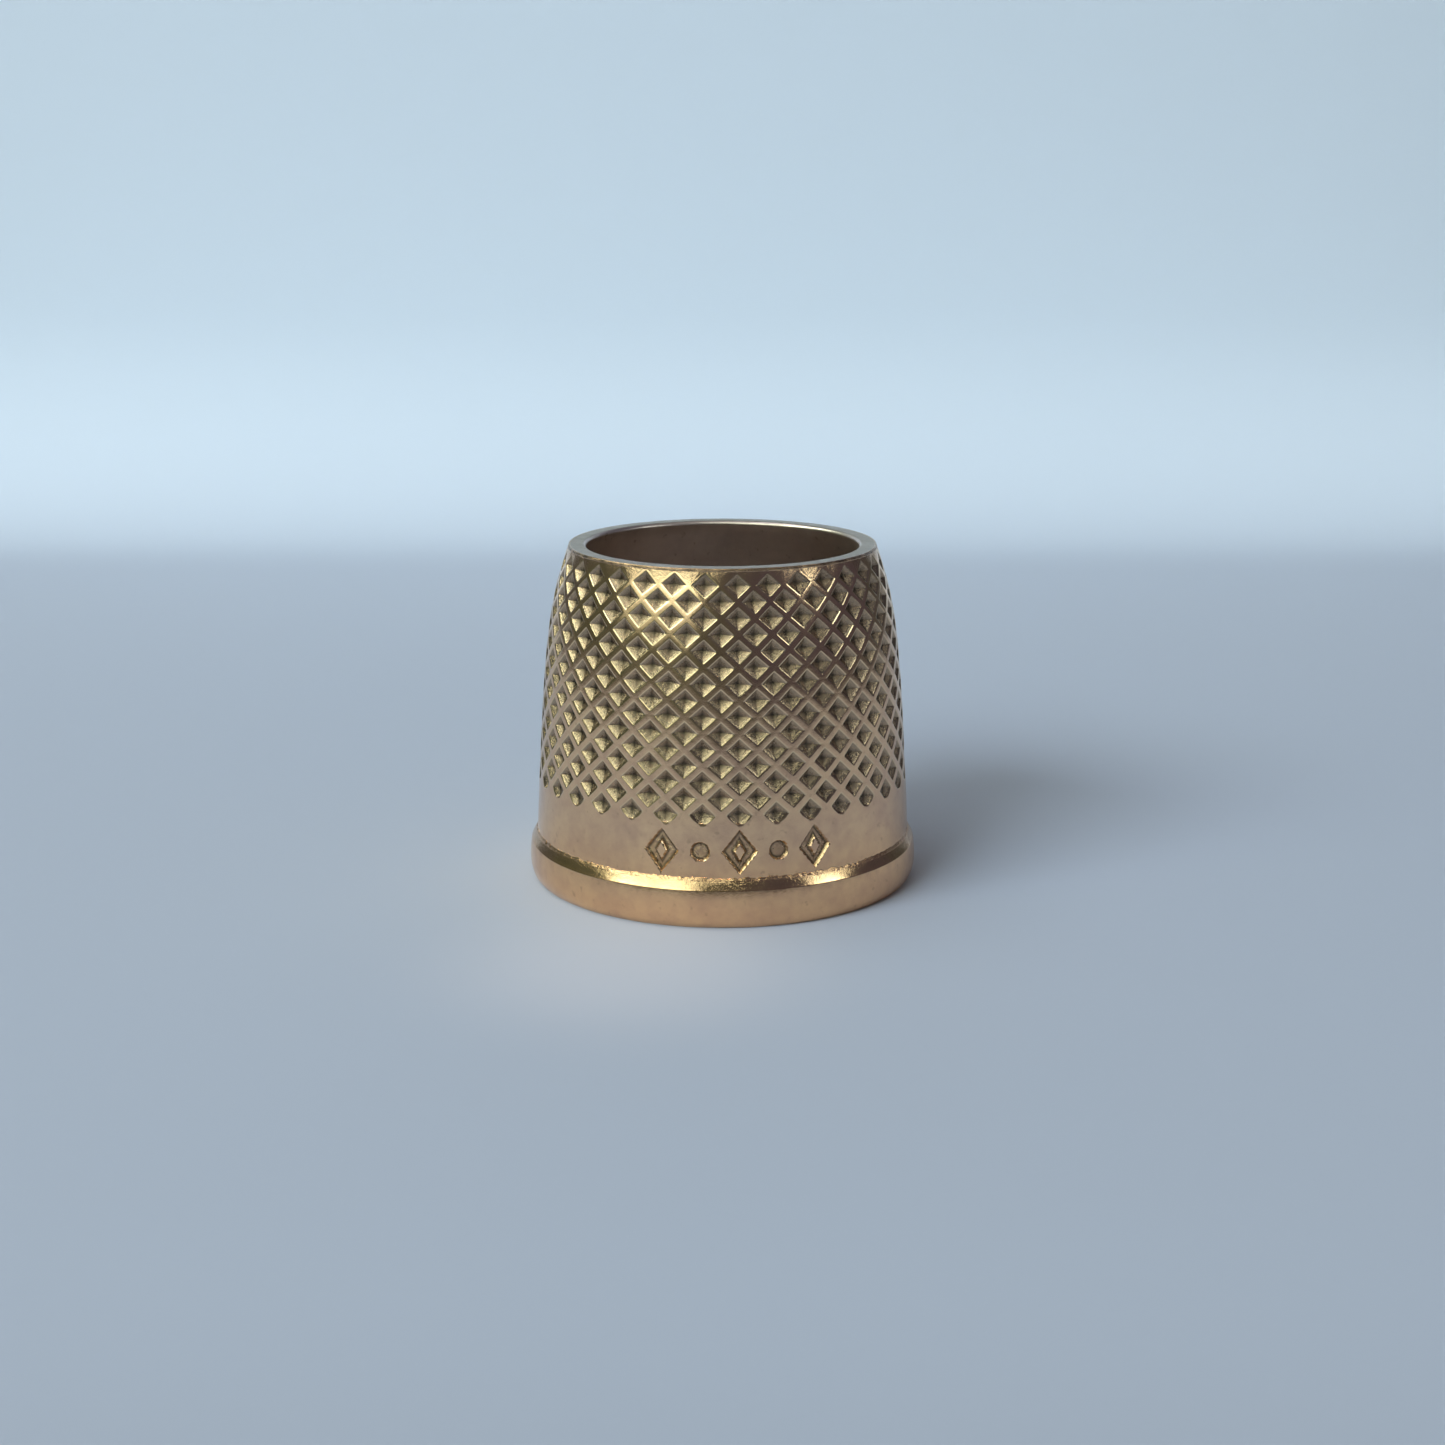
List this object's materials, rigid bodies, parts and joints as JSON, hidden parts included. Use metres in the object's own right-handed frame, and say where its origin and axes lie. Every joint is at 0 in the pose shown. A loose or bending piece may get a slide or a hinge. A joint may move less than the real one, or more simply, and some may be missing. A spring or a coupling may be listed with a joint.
{
  "type": "thimble",
  "caption": "Open-top sewing thimble: a thick metal shell with a flat top lip, a barrel wall covered in pyramid pits, a plain band with a stamped ornament and a beaded foot rim.",
  "frame": {"origin": "on the thimble's axis, level with the flat of its foot", "axes": "+Z along the axis from the foot to the open top; -Y points out through the middle of the stamped ornament"},
  "size_m": [0.0206, 0.0208, 0.0179],
  "materials": {
    "brass": "worn satin brass with darker pits"
  },
  "bodies": {
    "root": {"thimble": "brass"}
  },
  "joints": []
}
